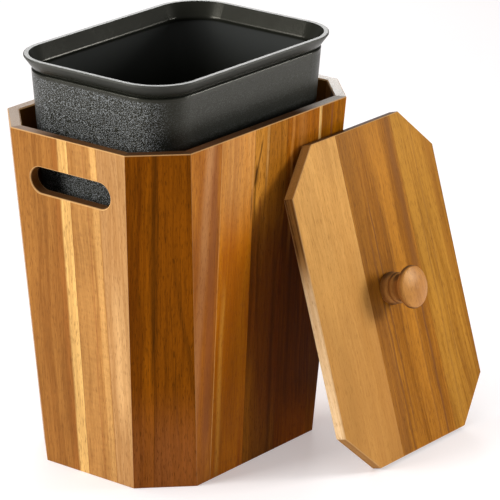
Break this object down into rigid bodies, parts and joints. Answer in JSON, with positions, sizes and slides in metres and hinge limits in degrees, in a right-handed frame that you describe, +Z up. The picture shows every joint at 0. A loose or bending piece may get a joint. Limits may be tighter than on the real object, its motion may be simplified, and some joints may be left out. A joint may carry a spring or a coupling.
{
  "type": "trash can",
  "caption": "Tapered octagonal wooden trash can of edge-glued staves with hand slots, a lift-out plastic bin with a flared rim and a lift-off lid with a turned knob.",
  "frame": {"origin": "middle of the case's foot, on the floor", "axes": "+X along the case's long side, -Y out of the front that the lid leans on, +Z up"},
  "size_m": [0.3452, 0.2856, 0.353],
  "materials": {
    "acacia_amber": "satin lacquer over amber wood",
    "acacia_brown": "satin lacquer over brown wood",
    "acacia_dark": "satin lacquer over dark wood",
    "plywood": "plain sanded",
    "black_plastic": "fine grain outside, satin inside",
    "zinc_steel": "zinc plated"
  },
  "bodies": {
    "case": {"back_left_stave_1": "acacia_brown", "back_left_stave_2": "acacia_amber", "back_right_stave_1": "acacia_amber", "back_right_stave_2": "acacia_dark", "back_stave_1": "acacia_brown", "back_stave_2": "acacia_dark", "back_stave_3": "acacia_amber", "back_stave_4": "acacia_brown", "back_stave_5": "acacia_amber", "floor_board": "plywood", "front_left_stave_1": "acacia_dark", "front_left_stave_2": "acacia_brown", "front_right_stave_1": "acacia_brown", "front_right_stave_2": "acacia_amber", "front_stave_1": "acacia_brown", "front_stave_2": "acacia_amber", "front_stave_3": "acacia_dark", "front_stave_4": "acacia_dark", "front_stave_5": "acacia_amber", "left_stave_1": "acacia_brown", "left_stave_2_above_slot": "acacia_amber", "left_stave_2_below_slot": "acacia_amber", "left_stave_3": "acacia_amber", "right_stave_1": "acacia_brown", "right_stave_2_above_slot": "acacia_amber", "right_stave_2_below_slot": "acacia_amber", "right_stave_3": "acacia_amber"},
    "bin": {"inner_bin": "black_plastic"},
    "lid": {"lid_batten_lower": "acacia_brown", "lid_batten_screws": "zinc_steel", "lid_batten_upper": "acacia_brown", "lid_knob": "acacia_amber", "lid_knob_screw": "zinc_steel", "lid_stave_1": "acacia_amber", "lid_stave_2": "acacia_dark", "lid_stave_3": "acacia_amber"}
  },
  "joints": [
    {"name": "bin_lift", "type": "slide", "parent": "case", "child": "bin", "axis": [0, 0, 1], "range_m": [-0.063, 0.26]},
    {"name": "lid_lift", "type": "slide", "parent": "case", "child": "lid", "axis": [0, -0.9598, 0.2808], "range_m": [0, 0.3]}
  ]
}
